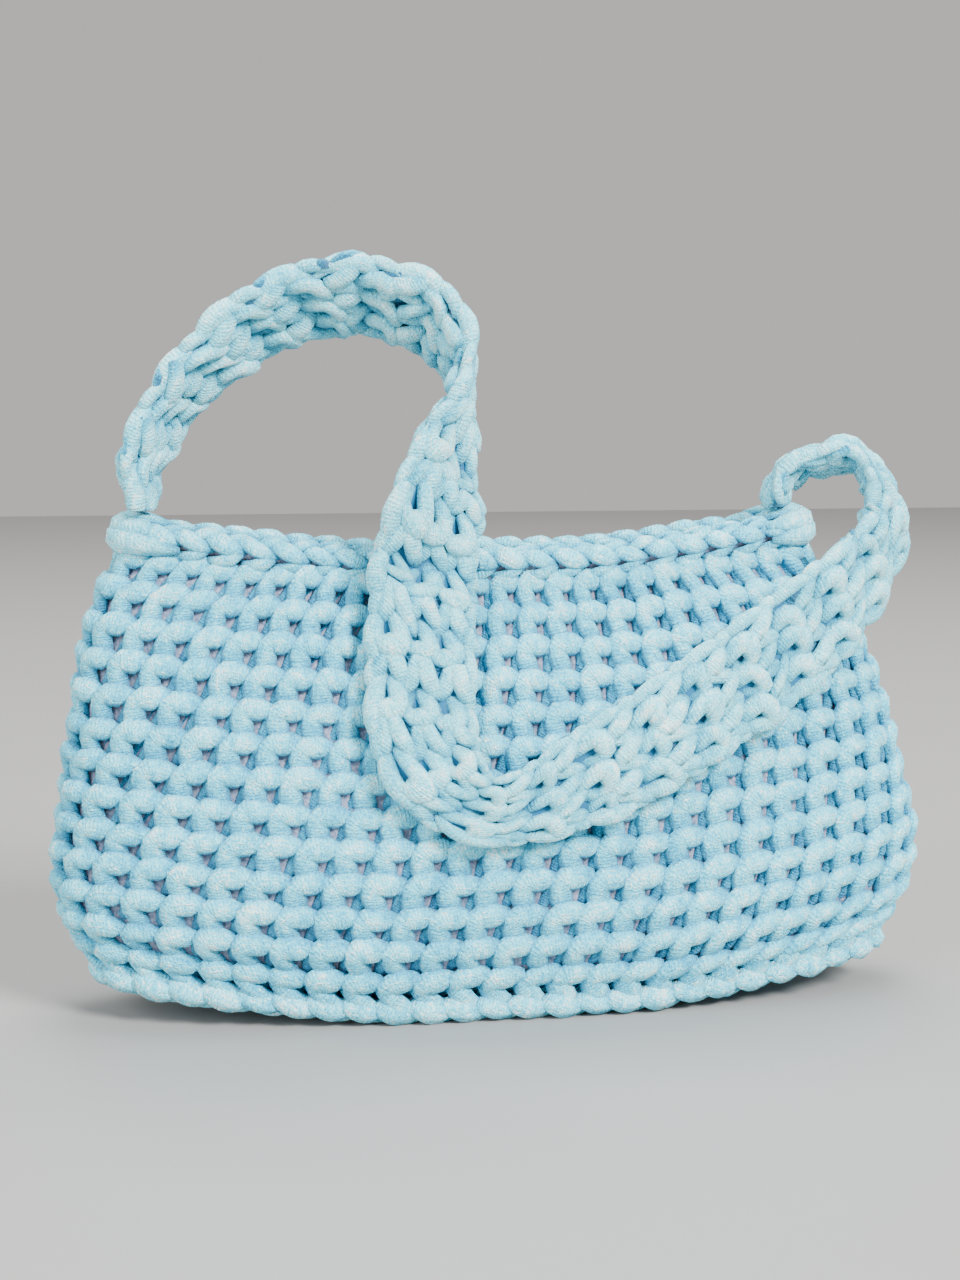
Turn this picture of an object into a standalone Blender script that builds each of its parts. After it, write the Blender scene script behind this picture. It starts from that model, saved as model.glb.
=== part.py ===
"""A crocheted shoulder bag of thick t-shirt yarn, standing on its base.

+X is the bag's width to the viewer's right, the front faces -Y and +Z is up. The origin is the
middle of the base's flat underside. Sizes are in metres.
"""
import bpy
import bmesh
import math
from mathutils import Vector

# Driving sizes of the bag
BAG_WIDTH = 0.300
BAG_DEPTH = 0.088
WALL_HEIGHT = 0.136
WALL_THICK = 0.0085
END_LIFT = 0.012
FLAT_SHARE = 0.28
LIFT_POWER = 1.25
ROUNDS = 13
RIB_DEPTH = 0.0022
BASE_THICK = 0.0085
RIDGE_HEIGHT = 0.0090
RIDGE_THICK = 0.0090
RIDGE_OUT = 0.0015
RIM_HEIGHT = 0.0105
RIM_THICK = 0.0100
STITCHES_ROUND = 50

# Driving sizes of the strap
STRAP_WIDTH = 0.034
STRAP_THICK = 0.0082
EDGE_THICK = 0.0068
LOOP_PITCH = 0.020
ARCH_RISE = 0.0855
STRAP_DROP = 0.083
FOOT_WRAP = 0.0026
FOOT_NARROW = 0.82
FOOT_STAND = 0.008
FOOT_ROLLS = (-14, 195)

# Space kept between touching pieces, and between the strap and the wall that it lies on
GAP = 0.0003
STRAP_CLEARANCE = 0.0006

# Wall sections from the ridge up to the rim.
# up: share of WALL_HEIGHT; half width and sideways shift: shares of BAG_WIDTH;
# half depth: share of BAG_DEPTH; square: exponent of the oval; ends: share of END_LIFT
WALL_SECTIONS = (
    # up, half_width, half_depth, shift, square, ends
    (0.00, 0.452, 0.380, 0.000, 2.50, 1.00),
    (0.04, 0.474, 0.430, 0.000, 2.50, 0.97),
    (0.13, 0.494, 0.482, 0.000, 2.50, 0.85),
    (0.27, 0.500, 0.500, 0.000, 2.45, 0.74),
    (0.43, 0.487, 0.482, -0.004, 2.45, 0.68),
    (0.60, 0.470, 0.440, -0.010, 2.50, 0.70),
    (0.78, 0.448, 0.370, -0.018, 2.60, 0.76),
    (0.90, 0.422, 0.305, -0.026, 2.75, 0.82),
    (1.00, 0.389, 0.240, -0.031, 2.90, 0.90),
)

# The strap's middle line, from above its left foot to above its right foot.
# across: share of BAG_WIDTH; up: share of ARCH_RISE above the rim's top, or of STRAP_DROP below it;
# fore: share of BAG_DEPTH forward of the middle; on_wall: 1 where the strap lies on the front wall;
# roll: degrees from edge-on, front edge towards the viewer, to the outer face towards the viewer;
# width: share of STRAP_WIDTH where the band is folded narrower
STRAP_STATIONS = (
    # across, up, fore, on_wall, roll, width
    (-0.397, 0.305, 0.00, 0.0, -20, 1.00),
    (-0.347, 0.615, 0.02, 0.0, -30, 0.98),
    (-0.253, 0.890, 0.05, 0.0, -40, 0.98),
    (-0.160, 0.965, 0.07, 0.0, -43, 0.98),
    (-0.076, 0.870, 0.11, 0.0, -32, 0.96),
    (-0.048, 0.630, 0.20, 0.0, 5, 0.96),
    (-0.076, 0.280, 0.33, 0.3, 55, 1.00),
    (-0.093, 0.030, 0.42, 1.0, 78, 1.00),
    (-0.104, -0.400, 0.50, 1.0, 90, 1.00),
    (-0.098, -0.800, 0.56, 1.0, 90, 0.94),
    (-0.034, -1.000, 0.58, 1.0, 90, 0.62),
    (0.084, -0.860, 0.58, 1.0, 90, 0.92),
    (0.199, -0.635, 0.52, 1.0, 90, 1.00),
    (0.324, -0.352, 0.36, 1.0, 98, 1.00),
    (0.440, -0.010, 0.14, 0.0, 132, 1.00),
    (0.447, 0.235, 0.04, 0.0, 155, 0.98),
    (0.400, 0.345, 0.02, 0.0, 190, 0.96),
    (0.346, 0.280, 0.00, 0.0, 200, 0.94),
)

# Colours of the yarn, outside pieces and the paler strap
YARN_BLUE = (0.36, 0.68, 0.80, 1.0)
YARN_PALE = (0.50, 0.78, 0.86, 1.0)
YARN_ROUGHNESS = 0.85

# Where the foot's wraps run, in degrees from the rim's top outwards, and in steps round the rim
WRAP_FROM = -25
WRAP_TO = 130
WRAP_STEPS = 4
FOOT_STEPS = 2

# Steps of the meshes, and rounds of moving the strap off the wall
SETTLE_ROUNDS = 12
COLUMNS = 44
INNER_RINGS = 7
BASE_STATIONS = 21
BASE_END_SHARE = 0.02
SEARCH_ROUNDS = 18
STRAP_FINE_STEPS = 600

# Shares that a chain or a strap row narrows by between its stitches
RIM_SWELL = 0.14
RIDGE_SWELL = 0.10
BAND_ROWS = (1.0, 0.86)
EDGE_LOOPS = (1.0, 0.92, 0.78, 0.92)
LOOP_STEPS = len(EDGE_LOOPS)

# The band's section: corner as a share of its thickness, flat of its width, side of its thickness
BAND_CORNER = 0.14
BAND_FLAT = 0.5
BAND_SIDE = 0.8

RIDGE_TOP = RIDGE_HEIGHT + GAP
RIM_MIDDLE = RIDGE_TOP + WALL_HEIGHT + GAP + RIM_HEIGHT / 2
RIM_TOP = RIM_MIDDLE + RIM_HEIGHT / 2


def clear_scene():
    for item in list(bpy.data.objects):
        bpy.data.objects.remove(item, do_unlink=True)


def make_material(name, colour):
    material = bpy.data.materials.new(name)
    material.use_nodes = True
    shader = material.node_tree.nodes["Principled BSDF"]
    shader.inputs["Base Color"].default_value = colour
    shader.inputs["Roughness"].default_value = YARN_ROUGHNESS
    shader.inputs["Metallic"].default_value = 0.0
    return material


def skin(name, rings, colour, closed_path=False):
    """Join rings of points, each with the same count, into one closed solid."""
    mesh = bpy.data.meshes.new(name)
    bm = bmesh.new()
    loops = [[bm.verts.new(point) for point in ring] for ring in rings]
    count = len(rings[0])
    pairs = list(zip(loops, loops[1:]))
    if closed_path:
        pairs.append((loops[-1], loops[0]))
    for low, high in pairs:
        for i in range(count):
            j = (i + 1) % count
            bm.faces.new((low[i], low[j], high[j], high[i]))
    if not closed_path:
        bm.faces.new(loops[0][::-1])
        bm.faces.new(loops[-1])
    bmesh.ops.recalc_face_normals(bm, faces=bm.faces)
    bm.to_mesh(mesh)
    bm.free()
    mesh.shade_smooth()
    mesh.set_sharp_from_angle(angle=math.radians(50))
    item = bpy.data.objects.new(name, mesh)
    item.data.materials.append(make_material(name + "_yarn", colour))
    bpy.context.collection.objects.link(item)
    return item


def smooth_row(table, at, column=0):
    """A row of the table at a place between its rows, on a smooth curve through them."""
    last = len(table) - 1
    i = 0
    while i < last - 1 and at > table[i + 1][column]:
        i += 1
    before = table[max(i - 1, 0)]
    low = table[i]
    high = table[i + 1]
    after = table[min(i + 2, last)]
    span = high[column] - low[column]
    t = min(max((at - low[column]) / span, 0.0), 1.0)
    row = []
    for a, b, c, d in zip(before, low, high, after):
        slope_low = (c - a) / (high[column] - before[column]) * span
        slope_high = (d - b) / (after[column] - low[column]) * span
        row.append((2 * t**3 - 3 * t**2 + 1) * b + (t**3 - 2 * t**2 + t) * slope_low
                   + (3 * t**2 - 2 * t**3) * c + (t**3 - t**2) * slope_high)
    return row


def lift(across, half_width):
    """Share of the ends' lift at a distance across from the section's middle."""
    out = max(abs(across) / half_width - FLAT_SHARE, 0.0) / (1 - FLAT_SHARE)
    return out ** LIFT_POWER


def oval(half_width, half_depth, square, count):
    """Equally spaced points round an oval, from its right end towards the back."""
    fine = 24 * count
    curve = []
    for i in range(fine + 1):
        c = math.cos(2 * math.pi * i / fine)
        s = math.sin(2 * math.pi * i / fine)
        x = math.copysign(abs(c) ** (2 / square), c) * half_width
        y = math.copysign(abs(s) ** (2 / square), s) * half_depth
        curve.append(Vector((x, y)))
    lengths = [0.0]
    for p, q in zip(curve, curve[1:]):
        lengths.append(lengths[-1] + (q - p).length)
    points = []
    k = 0
    for i in range(count):
        goal = lengths[-1] * i / count
        while lengths[k + 1] < goal:
            k += 1
        t = (goal - lengths[k]) / (lengths[k + 1] - lengths[k])
        points.append(curve[k].lerp(curve[k + 1], t))
    return points


def wall_ring(up, inset):
    """Points round the wall at a share of its height, moved inwards by inset."""
    _, half_width, half_depth, shift, square, ends = smooth_row(WALL_SECTIONS, up)
    half_width *= BAG_WIDTH
    ring = []
    for p in oval(half_width - inset, half_depth * BAG_DEPTH - inset, square, COLUMNS):
        z = RIDGE_TOP + up * WALL_HEIGHT + ends * END_LIFT * lift(p.x, half_width)
        ring.append(Vector((p.x + shift * BAG_WIDTH, p.y, z)))
    return ring


def make_body_wall():
    """The hollow wall: a crest and a valley for each round outside, smooth inside."""
    outer = [wall_ring(0.0, RIB_DEPTH)]
    for r in range(ROUNDS):
        outer.append(wall_ring((r + 0.5) / ROUNDS, 0.0))
        outer.append(wall_ring((r + 1.0) / ROUNDS, RIB_DEPTH))
    inner = [wall_ring(1 - i / (INNER_RINGS - 1), WALL_THICK) for i in range(INNER_RINGS)]
    return skin("body_wall", outer + inner, YARN_BLUE, closed_path=True)


def tube_rings(path, height, thick, sides, swell):
    """Rings round a level closed path, every second one swollen like a chain stitch."""
    rings = []
    count = len(path)
    for i, point in enumerate(path):
        ahead = path[(i + 1) % count] - path[i - 1]
        out = Vector((ahead.y, -ahead.x, 0)).normalized()
        size = 1.0 if i % 2 == 0 else 1 - swell
        ring = []
        for k in range(sides):
            angle = 2 * math.pi * k / sides
            ring.append(point + out * (math.sin(angle) * thick / 2 * size)
                        + Vector((0, 0, -math.cos(angle) * height / 2 * size)))
        rings.append(ring)
    return rings


def rim_path(count):
    """The middle line of the rim chain, round the mouth."""
    _, half_width, half_depth, shift, square, ends = WALL_SECTIONS[-1]
    half_width *= BAG_WIDTH
    inset = WALL_THICK / 2
    path = []
    for p in oval(half_width - inset, half_depth * BAG_DEPTH - inset, square, count):
        z = RIM_MIDDLE + ends * END_LIFT * lift(p.x, half_width)
        path.append(Vector((p.x + shift * BAG_WIDTH, p.y, z)))
    return path


def make_rim_chain():
    """The mouth's edge, one swelling for each chain stitch."""
    path = rim_path(2 * STITCHES_ROUND)
    rings = tube_rings(path, RIM_HEIGHT, RIM_THICK, 7, RIM_SWELL)
    return skin("rim_chain", rings, YARN_BLUE, closed_path=True)


def ridge_half_sizes():
    """Half width and half depth of the base ridge's middle line."""
    _, half_width, half_depth, *_ = WALL_SECTIONS[0]
    inset = WALL_THICK / 2 - RIDGE_OUT
    return half_width * BAG_WIDTH - inset, half_depth * BAG_DEPTH - inset


def make_base_ridge():
    """The thick ridge round the base's edge, under the wall."""
    half_width, half_depth = ridge_half_sizes()
    foot = WALL_SECTIONS[0][1] * BAG_WIDTH
    path = []
    for p in oval(half_width, half_depth, WALL_SECTIONS[0][4], 2 * STITCHES_ROUND):
        path.append(Vector((p.x, p.y, RIDGE_HEIGHT / 2 + END_LIFT * lift(p.x, foot))))
    rings = tube_rings(path, RIDGE_HEIGHT, RIDGE_THICK, 6, RIDGE_SWELL)
    return skin("base_ridge", rings, YARN_BLUE, closed_path=True)


def make_base():
    """The oval plate inside the ridge, its ends curled up with it."""
    half_width, half_depth = ridge_half_sizes()
    half_width -= RIDGE_THICK / 2 + GAP
    half_depth -= RIDGE_THICK / 2 + GAP
    foot = WALL_SECTIONS[0][1] * BAG_WIDTH
    square = WALL_SECTIONS[0][4]
    edge = BASE_THICK / 4
    rings = []
    for i in range(BASE_STATIONS):
        share = BASE_END_SHARE + (1 - 2 * BASE_END_SHARE) * i / (BASE_STATIONS - 1)
        x = -math.cos(math.pi * share) * half_width
        y = (1 - (abs(x) / half_width) ** square) ** (1 / square) * half_depth
        z = END_LIFT * lift(x, foot)
        slim = max(y - edge, y * 0.5)
        rings.append([Vector((x, -slim, z)), Vector((x, slim, z)),
                      Vector((x, y, z + edge)), Vector((x, y, z + BASE_THICK - edge)),
                      Vector((x, slim, z + BASE_THICK)), Vector((x, -slim, z + BASE_THICK)),
                      Vector((x, -y, z + BASE_THICK - edge)), Vector((x, -y, z + edge))])
    return skin("base", rings, YARN_BLUE)


def front_y(x, z):
    """The front surface's Y at a place of the wall or rim, seen from the front."""
    low = 0.0
    high = 1.0
    for _ in range(SEARCH_ROUNDS):
        up = (low + high) / 2
        _, half_width, _, shift, _, ends = smooth_row(WALL_SECTIONS, up)
        across = min(abs(x - shift * BAG_WIDTH), half_width * BAG_WIDTH)
        at = RIDGE_TOP + up * WALL_HEIGHT + ends * END_LIFT * lift(across, half_width * BAG_WIDTH)
        if at < z:
            low = up
        else:
            high = up
    _, half_width, half_depth, shift, square, _ = smooth_row(WALL_SECTIONS, up)
    out = min(abs(x - shift * BAG_WIDTH) / (half_width * BAG_WIDTH), 1.0)
    depth = (1 - out ** square) ** (1 / square) * half_depth * BAG_DEPTH
    return -depth - max(RIM_THICK - WALL_THICK, 0.0) / 2


def rim_seat(side):
    """The place over the rim chain's left (-1) or right (1) end where the strap's foot stands."""
    path = rim_path(2 * STITCHES_ROUND)
    end = 0 if side > 0 else STITCHES_ROUND
    seat = (path[end - FOOT_STEPS] + path[end + FOOT_STEPS]) / 2
    seat.z = path[end].z
    return seat


def strap_rows():
    """The strap's stations in metres, with the computed feet on the rim's ends."""
    seat = RIM_HEIGHT / 2 + FOOT_WRAP + 2 * GAP
    left = rim_seat(-1)
    right = rim_seat(1)
    rows = [(left.x, left.z + seat + up, left.y, 0.0, FOOT_ROLLS[0], FOOT_NARROW)
            for up in (0, FOOT_STAND)]
    for across, up, fore, on_wall, roll, width in STRAP_STATIONS:
        z = RIM_TOP + up * (ARCH_RISE if up > 0 else STRAP_DROP)
        rows.append((across * BAG_WIDTH, z, -fore * BAG_DEPTH, on_wall, roll, width))
    rows.extend((right.x, right.z + seat + up, right.y, 0.0, FOOT_ROLLS[1], FOOT_NARROW)
                for up in (FOOT_STAND, 0))
    return rows


def strap_line():
    """Even steps along the strap: middle point, roll, width share and share on the wall."""
    rows = strap_rows()
    marks = [0.0]
    for a, b in zip(rows, rows[1:]):
        marks.append(marks[-1] + math.dist(a[:2], b[:2]))
    table = [(mark,) + row for mark, row in zip(marks, rows)]
    fine = [smooth_row(table, marks[-1] * i / STRAP_FINE_STEPS)
            for i in range(STRAP_FINE_STEPS + 1)]
    lengths = [0.0]
    for a, b in zip(fine, fine[1:]):
        lengths.append(lengths[-1] + math.dist(a[1:4], b[1:4]))
    loops = round(lengths[-1] / LOOP_PITCH)
    steps = loops * LOOP_STEPS
    line = []
    k = 0
    for i in range(steps + 1):
        goal = lengths[-1] * i / steps
        while k < STRAP_FINE_STEPS - 1 and lengths[k + 1] < goal:
            k += 1
        line.append(fine[k])
    return line


def turned_frame(points, i, roll):
    """Width and face directions of the strap at a step, from its path and its roll."""
    ahead = (points[min(i + 1, len(points) - 1)] - points[max(i - 1, 0)]).normalized()
    front = Vector((0, -1, 0))
    across = (front - ahead * front.dot(ahead)).normalized()
    face = across.cross(ahead)
    angle = math.radians(roll)
    turned = across * math.cos(angle) - face * math.sin(angle)
    return turned, turned.cross(ahead)


def strap_frames():
    """Middle point, width direction, face direction and width share at each step."""
    line = strap_line()
    points = [Vector((row[1], row[3], row[2])) for row in line]
    last = len(line) - 1
    stand = STRAP_THICK / 2 + STRAP_CLEARANCE
    for point, row in zip(points, line):
        point.y += row[4] * (front_y(point.x, min(point.z, RIM_TOP)) - stand - point.y)
    for _ in range(SETTLE_ROUNDS):
        for i in range(1, last):
            if line[i][4] <= 0:
                continue
            across, face = turned_frame(points, i, line[i][5])
            reach = STRAP_WIDTH / 2 * line[i][6]
            need = 0.0
            for share in (-1, -0.6, 0, 0.6, 1):
                back = points[i] + across * (reach * share) - face * (STRAP_THICK / 2)
                if back.z < RIM_TOP + END_LIFT:
                    need = max(need, back.y + STRAP_CLEARANCE - front_y(back.x, back.z))
            points[i].y -= need
        depths = [p.y for p in points]
        for i in range(1, last):
            points[i].y = min(depths[i], (depths[i - 1] + depths[i + 1]) / 2)
    return [(points[i], *turned_frame(points, i, row[5]), row[6]) for i, row in enumerate(line)]


def make_strap(frames):
    """The band between its edges, and the chain of turning loops on each edge."""
    band = []
    front = []
    rear = []
    for i, (middle, across, face, width) in enumerate(frames):
        edge = STRAP_WIDTH / 2 * width - EDGE_THICK / 2
        core = edge - EDGE_THICK / 2 - GAP
        thick = STRAP_THICK / 2 * BAND_ROWS[i % 2]
        corner = core - STRAP_THICK * BAND_CORNER
        flat = corner * BAND_FLAT
        side_thick = thick * BAND_SIDE
        outline = ((core, 0), (corner, side_thick), (flat, thick), (-flat, thick),
                   (-corner, side_thick), (-core, 0), (-corner, -side_thick),
                   (-flat, -thick), (flat, -thick), (corner, -side_thick))
        band.append([middle + across * u + face * v for u, v in outline])
        radius = EDGE_THICK / 2 * EDGE_LOOPS[i % LOOP_STEPS]
        for side, rings in ((1, front), (-1, rear)):
            ring = []
            for k in range(6):
                angle = math.pi / 3 * k
                ring.append(middle + across * (side * edge + math.cos(angle) * radius)
                            + face * (math.sin(angle) * radius))
            rings.append(ring)
    skin("strap_band", band, YARN_PALE)
    skin("strap_edge_front", front, YARN_PALE)
    skin("strap_edge_rear", rear, YARN_PALE)


def make_foot(name, side):
    """The wraps of yarn that saddle the rim's end under the strap's foot."""
    count = 2 * STITCHES_ROUND
    path = rim_path(count)
    middle = 0 if side > 0 else STITCHES_ROUND
    rings = []
    inner = RIM_HEIGHT / 2 + GAP
    for i in range(middle - WRAP_STEPS, middle + WRAP_STEPS + 1):
        point = path[i % count]
        ahead = path[(i + 1) % count] - path[(i - 1) % count]
        out = Vector((ahead.y, -ahead.x, 0)).normalized()
        ring = []
        for radius, turn in ((inner + FOOT_WRAP, 1), (inner, -1)):
            for k in range(7):
                angle = math.radians(WRAP_FROM + (WRAP_TO - WRAP_FROM) * (k if turn > 0 else 6 - k) / 6)
                ring.append(point + out * (math.sin(angle) * radius)
                            + Vector((0, 0, math.cos(angle) * radius)))
        rings.append(ring)
    return skin(name, rings, YARN_PALE)


clear_scene()
make_base()
make_base_ridge()
make_body_wall()
make_rim_chain()
make_strap(strap_frames())
make_foot("strap_foot_left", -1)
make_foot("strap_foot_right", 1)
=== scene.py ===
# %% [markdown]
# A small shoulder bag, crocheted from one thick strip of pale blue t-shirt jersey. The packed
# model gives its solids: base, ridge, wall, rim and strap. This lesson replaces each solid with
# the yarn that it stands for, stitch by stitch, and finishes the yarn as cut jersey.

# %% Load the frame
import bpy
import bmesh
import math
import numpy as np
from mathutils import Matrix, Vector


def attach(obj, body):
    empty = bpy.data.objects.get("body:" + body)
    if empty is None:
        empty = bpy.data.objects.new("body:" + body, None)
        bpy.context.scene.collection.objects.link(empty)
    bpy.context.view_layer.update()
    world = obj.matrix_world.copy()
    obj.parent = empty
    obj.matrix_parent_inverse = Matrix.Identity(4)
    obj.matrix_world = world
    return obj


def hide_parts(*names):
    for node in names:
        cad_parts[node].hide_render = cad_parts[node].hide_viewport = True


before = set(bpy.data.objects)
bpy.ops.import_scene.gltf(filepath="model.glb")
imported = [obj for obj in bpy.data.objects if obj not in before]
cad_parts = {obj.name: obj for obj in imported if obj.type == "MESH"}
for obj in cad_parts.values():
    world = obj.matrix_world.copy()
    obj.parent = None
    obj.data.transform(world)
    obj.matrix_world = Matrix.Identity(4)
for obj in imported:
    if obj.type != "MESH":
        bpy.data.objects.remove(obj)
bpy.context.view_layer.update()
SEED = 11
rng = np.random.default_rng(SEED)
print("nodes:", sorted(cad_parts))

# %% [markdown]
# The camera comes first, so that each piece can be judged from the photograph's side. It looks
# from a little left of the front and a little above the rim, with a long lens.

# %% Camera
IMAGE_HEIGHT = 1280
FOCAL_PIXELS = 2180
CAMERA_SIDE = math.radians(-10)
CAMERA_RISE = math.radians(6.5)
CAMERA_REACH = 0.731
CAMERA_AIM = Vector((-0.0076, -0.0117, 0.1248))


def make_camera():
    data = bpy.data.cameras.new("camera")
    data.sensor_width = 36
    data.lens = FOCAL_PIXELS / IMAGE_HEIGHT * data.sensor_width
    camera = bpy.data.objects.new("camera", data)
    bpy.context.collection.objects.link(camera)
    back = Vector((math.sin(CAMERA_SIDE) * math.cos(CAMERA_RISE),
                   -math.cos(CAMERA_SIDE) * math.cos(CAMERA_RISE), math.sin(CAMERA_RISE)))
    camera.location = CAMERA_AIM + back * CAMERA_REACH
    camera.rotation_euler = back.to_track_quat("Z", "Y").to_euler()
    bpy.context.scene.camera = camera
    return camera


print("camera at", [round(c, 3) for c in make_camera().location])

# %% [markdown]
# The real bag has no drawn surface: its wall is only rounds of loops. The loops still follow a
# smooth form, so the form is worked out first, as level ovals whose sizes change on the way up.
# The same table of shares shaped the solid, so yarn and solid stay together.

# %% Sizes of the bag
BAG_WIDTH = 0.300
BAG_DEPTH = 0.088
WALL_HEIGHT = 0.136
WALL_THICK = 0.0085
END_LIFT = 0.012
FLAT_SHARE = 0.28
LIFT_POWER = 1.25
RIDGE_HEIGHT = 0.0090
RIDGE_OUT = 0.0015
RIM_HEIGHT = 0.0105
GAP = 0.0003
ROUNDS = 13
AROUND = 52
RIDGE_TOP = RIDGE_HEIGHT + GAP
RIM_MIDDLE = RIDGE_TOP + WALL_HEIGHT + GAP + RIM_HEIGHT / 2
RIM_TOP = RIM_MIDDLE + RIM_HEIGHT / 2

WALL_SECTIONS = np.array((
    # up, half_width, half_depth, shift, square, ends
    (0.00, 0.452, 0.380, 0.000, 2.50, 1.00),
    (0.04, 0.474, 0.430, 0.000, 2.50, 0.97),
    (0.13, 0.494, 0.482, 0.000, 2.50, 0.85),
    (0.27, 0.500, 0.500, 0.000, 2.45, 0.74),
    (0.43, 0.487, 0.482, -0.004, 2.45, 0.68),
    (0.60, 0.470, 0.440, -0.010, 2.50, 0.70),
    (0.78, 0.448, 0.370, -0.018, 2.60, 0.76),
    (0.90, 0.422, 0.305, -0.026, 2.75, 0.82),
    (1.00, 0.389, 0.240, -0.031, 2.90, 0.90),
))


def smooth_rows(table, at, column=0):
    """Rows of the table at places between its rows, on smooth curves through them."""
    at = np.asarray(at, float)
    keys = table[:, column]
    last = len(table) - 1
    i = np.clip(np.searchsorted(keys, at, side="left") - 1, 0, last - 1)
    before, low, high, after = (table[np.clip(i + k, 0, last)] for k in (-1, 0, 1, 2))
    span = (high[..., column] - low[..., column])[..., None]
    t = np.clip((at[..., None] - low[..., column, None]) / span, 0, 1)
    slope_low = (high - before) / (high - before)[..., column, None] * span
    slope_high = (after - low) / (after - low)[..., column, None] * span
    return ((2 * t**3 - 3 * t**2 + 1) * low + (t**3 - 2 * t**2 + t) * slope_low
            + (3 * t**2 - 2 * t**3) * high + (t**3 - t**2) * slope_high)


def lift(across, half_width):
    """Share of the ends' lift at a distance across from the section's middle."""
    out = np.clip(np.abs(across) / half_width - FLAT_SHARE, 0, None) / (1 - FLAT_SHARE)
    return out ** LIFT_POWER


def oval(half_width, half_depth, square, count):
    """Equally spaced points round an oval, from its right end towards the back, closed."""
    turn = np.linspace(0, 2 * np.pi, 24 * count + 1)
    c, s = np.cos(turn), np.sin(turn)
    x = np.sign(c) * np.abs(c) ** (2 / square) * half_width
    y = np.sign(s) * np.abs(s) ** (2 / square) * half_depth
    length = np.concatenate(([0], np.cumsum(np.hypot(np.diff(x), np.diff(y)))))
    goal = np.linspace(0, length[-1], count + 1)
    return np.stack((np.interp(goal, length, x), np.interp(goal, length, y)), -1)


# %% [markdown]
# Stitches are placed by their number round the bag and their round above the base. A grid of
# points over the wall turns such a place into a point in space, with the direction that faces
# out of the cloth there. Even steps along the cloth, not in height, keep the rounds equal.

# %% Places on the wall
GRID_UP = 96
GRID_AROUND = 416


class Cloth:
    """A grid of points and outward directions, read between its points."""

    def __init__(self, grid, around_closed):
        self.grid = grid
        self.closed = around_closed
        along = np.gradient(grid, axis=1)
        if around_closed:
            ends = grid[:, 1] - grid[:, -2]
            along[:, 0] = ends
            along[:, -1] = ends
        rise = np.gradient(grid, axis=0)
        out = np.cross(along, rise)
        self.out = out / np.linalg.norm(out, axis=-1, keepdims=True)

    def read(self, layer, around, up):
        rows, columns = layer.shape[0] - 1, layer.shape[1] - 1
        x = (np.mod(around, 1) if self.closed else np.clip(around, 0, 1)) * columns
        y = np.clip(up, 0, 1) * rows
        i = np.minimum(x.astype(int), columns - 1)
        j = np.minimum(y.astype(int), rows - 1)
        fx, fy = (x - i)[..., None], (y - j)[..., None]
        low = layer[j, i] * (1 - fx) + layer[j, i + 1] * fx
        high = layer[j + 1, i] * (1 - fx) + layer[j + 1, i + 1] * fx
        return low * (1 - fy) + high * fy

    def place(self, around, up, out):
        """Points at shares round and up the cloth, moved out of it by a distance."""
        point = self.read(self.grid, around, up)
        facing = self.read(self.out, around, up)
        facing /= np.linalg.norm(facing, axis=-1, keepdims=True)
        return point + facing * np.asarray(out)[..., None]


def wall_cloth():
    """The middle surface of the wall, from just under the first round to just over the last."""
    fine_up = np.linspace(0, 1, 400)
    rows = smooth_rows(WALL_SECTIONS, fine_up)
    profile = np.hypot(np.diff(rows[:, 2] * BAG_DEPTH), np.diff(fine_up * WALL_HEIGHT))
    length = np.concatenate(([0], np.cumsum(profile)))
    ups = np.interp(np.linspace(0, length[-1], GRID_UP + 1), length, fine_up)
    grid = []
    for up in ups:
        _, half_width, half_depth, shift, square, ends = smooth_rows(WALL_SECTIONS, up)
        half_width = half_width * BAG_WIDTH
        inset = WALL_THICK / 2
        ring = oval(half_width - inset, half_depth * BAG_DEPTH - inset, square, GRID_AROUND)
        z = RIDGE_TOP + up * WALL_HEIGHT + ends * END_LIFT * lift(ring[:, 0], half_width)
        grid.append(np.stack((ring[:, 0] + shift * BAG_WIDTH, ring[:, 1], z), -1))
    print("wall cloth: %.0f mm up the front" % (length[-1] * 1000))
    return Cloth(np.array(grid), True), length[-1] / ROUNDS


WALL, ROUND_HEIGHT = wall_cloth()

# %% [markdown]
# Every stitch is one bent length of the same yarn, a strip of jersey rolled into a soft flat
# tube. A curve with a bevel could draw it, but a short tube pulled ring by ring in bmesh keeps
# its wide side against the cloth, and hundreds of copies of it stay light. Its points also
# carry where they lie along and round the yarn, for the knitted ribs of its finish.

# %% A strand of yarn
MM = 0.001
SIDES = 8
PITCH = 12.6
ROW = 11.3


def ring_matrix(point, ahead, wide, thick):
    """The place of one ring of the tube: its flat side faces up out of the cloth."""
    ahead = ahead.normalized()
    up = Vector((0, 0, 1))
    up = (up - ahead * up.dot(ahead)).normalized()
    across = ahead.cross(up)
    matrix = Matrix.Identity(4)
    for row in range(3):
        matrix[row][0] = across[row] * wide / 2
        matrix[row][1] = up[row] * thick / 2
        matrix[row][2] = ahead[row]
        matrix[row][3] = point[row]
    return matrix


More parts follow.
